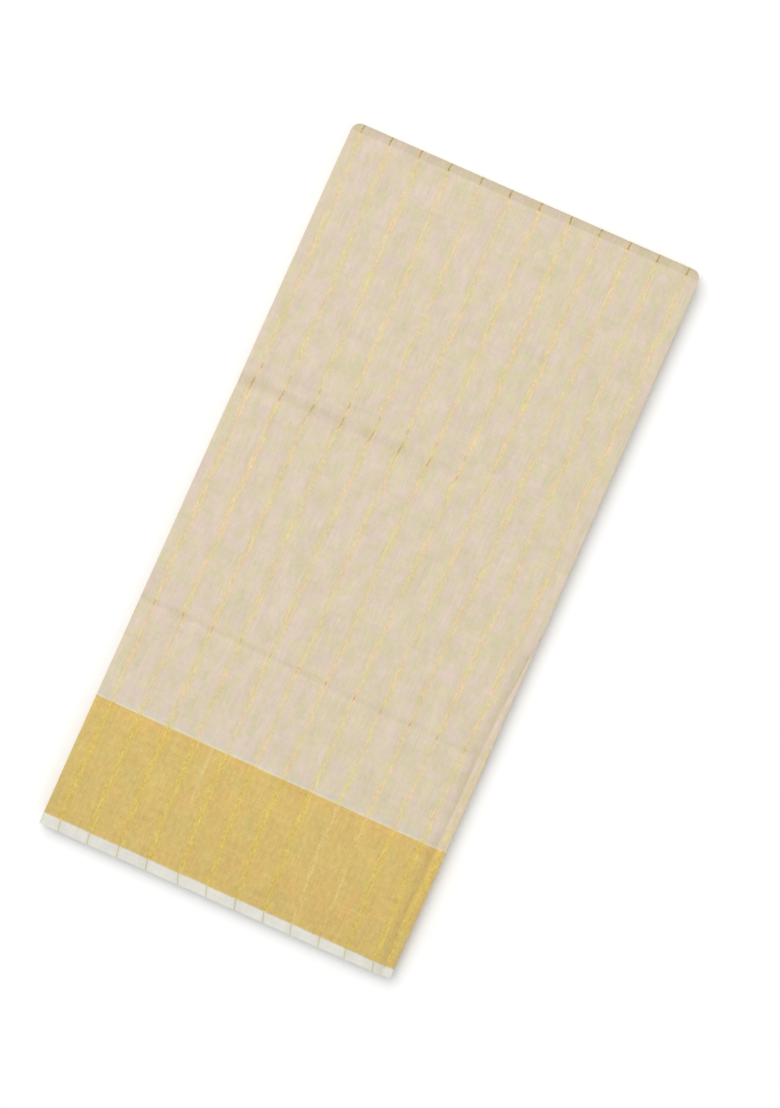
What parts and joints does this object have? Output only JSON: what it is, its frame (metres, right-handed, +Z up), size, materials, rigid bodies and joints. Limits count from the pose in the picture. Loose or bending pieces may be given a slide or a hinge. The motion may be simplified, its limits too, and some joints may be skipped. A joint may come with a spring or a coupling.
{
  "type": "folded handloom cotton saree",
  "caption": "Long flat bundle of a handwoven cotton saree, folded in panels, with thin gold stripes along it and a wide gold border and white selvedge at its open end.",
  "frame": {"origin": "centre of the bundle's box, on the surface that it lies on", "axes": "+X across the bundle towards the free end of its outer panel, +Y along it towards the round fold, +Z up"},
  "size_m": [0.2958, 0.595, 0.0176],
  "materials": {
    "cotton": "plain handwoven cream cotton, matt, with slubs and thin soft gold stripes",
    "gold_border": "tissue of gold thread and cotton, with a low soft sheen",
    "white_selvedge": "plain white cotton, matt"
  },
  "bodies": {
    "root": {"upper_body": "cotton", "upper_border": "gold_border", "upper_selvedge": "white_selvedge", "fold_end": "cotton", "under_body": "cotton", "under_border": "gold_border", "under_selvedge": "white_selvedge", "next_body": "cotton", "next_border": "gold_border", "next_selvedge": "white_selvedge", "hidden_panels": "cotton"}
  },
  "joints": []
}
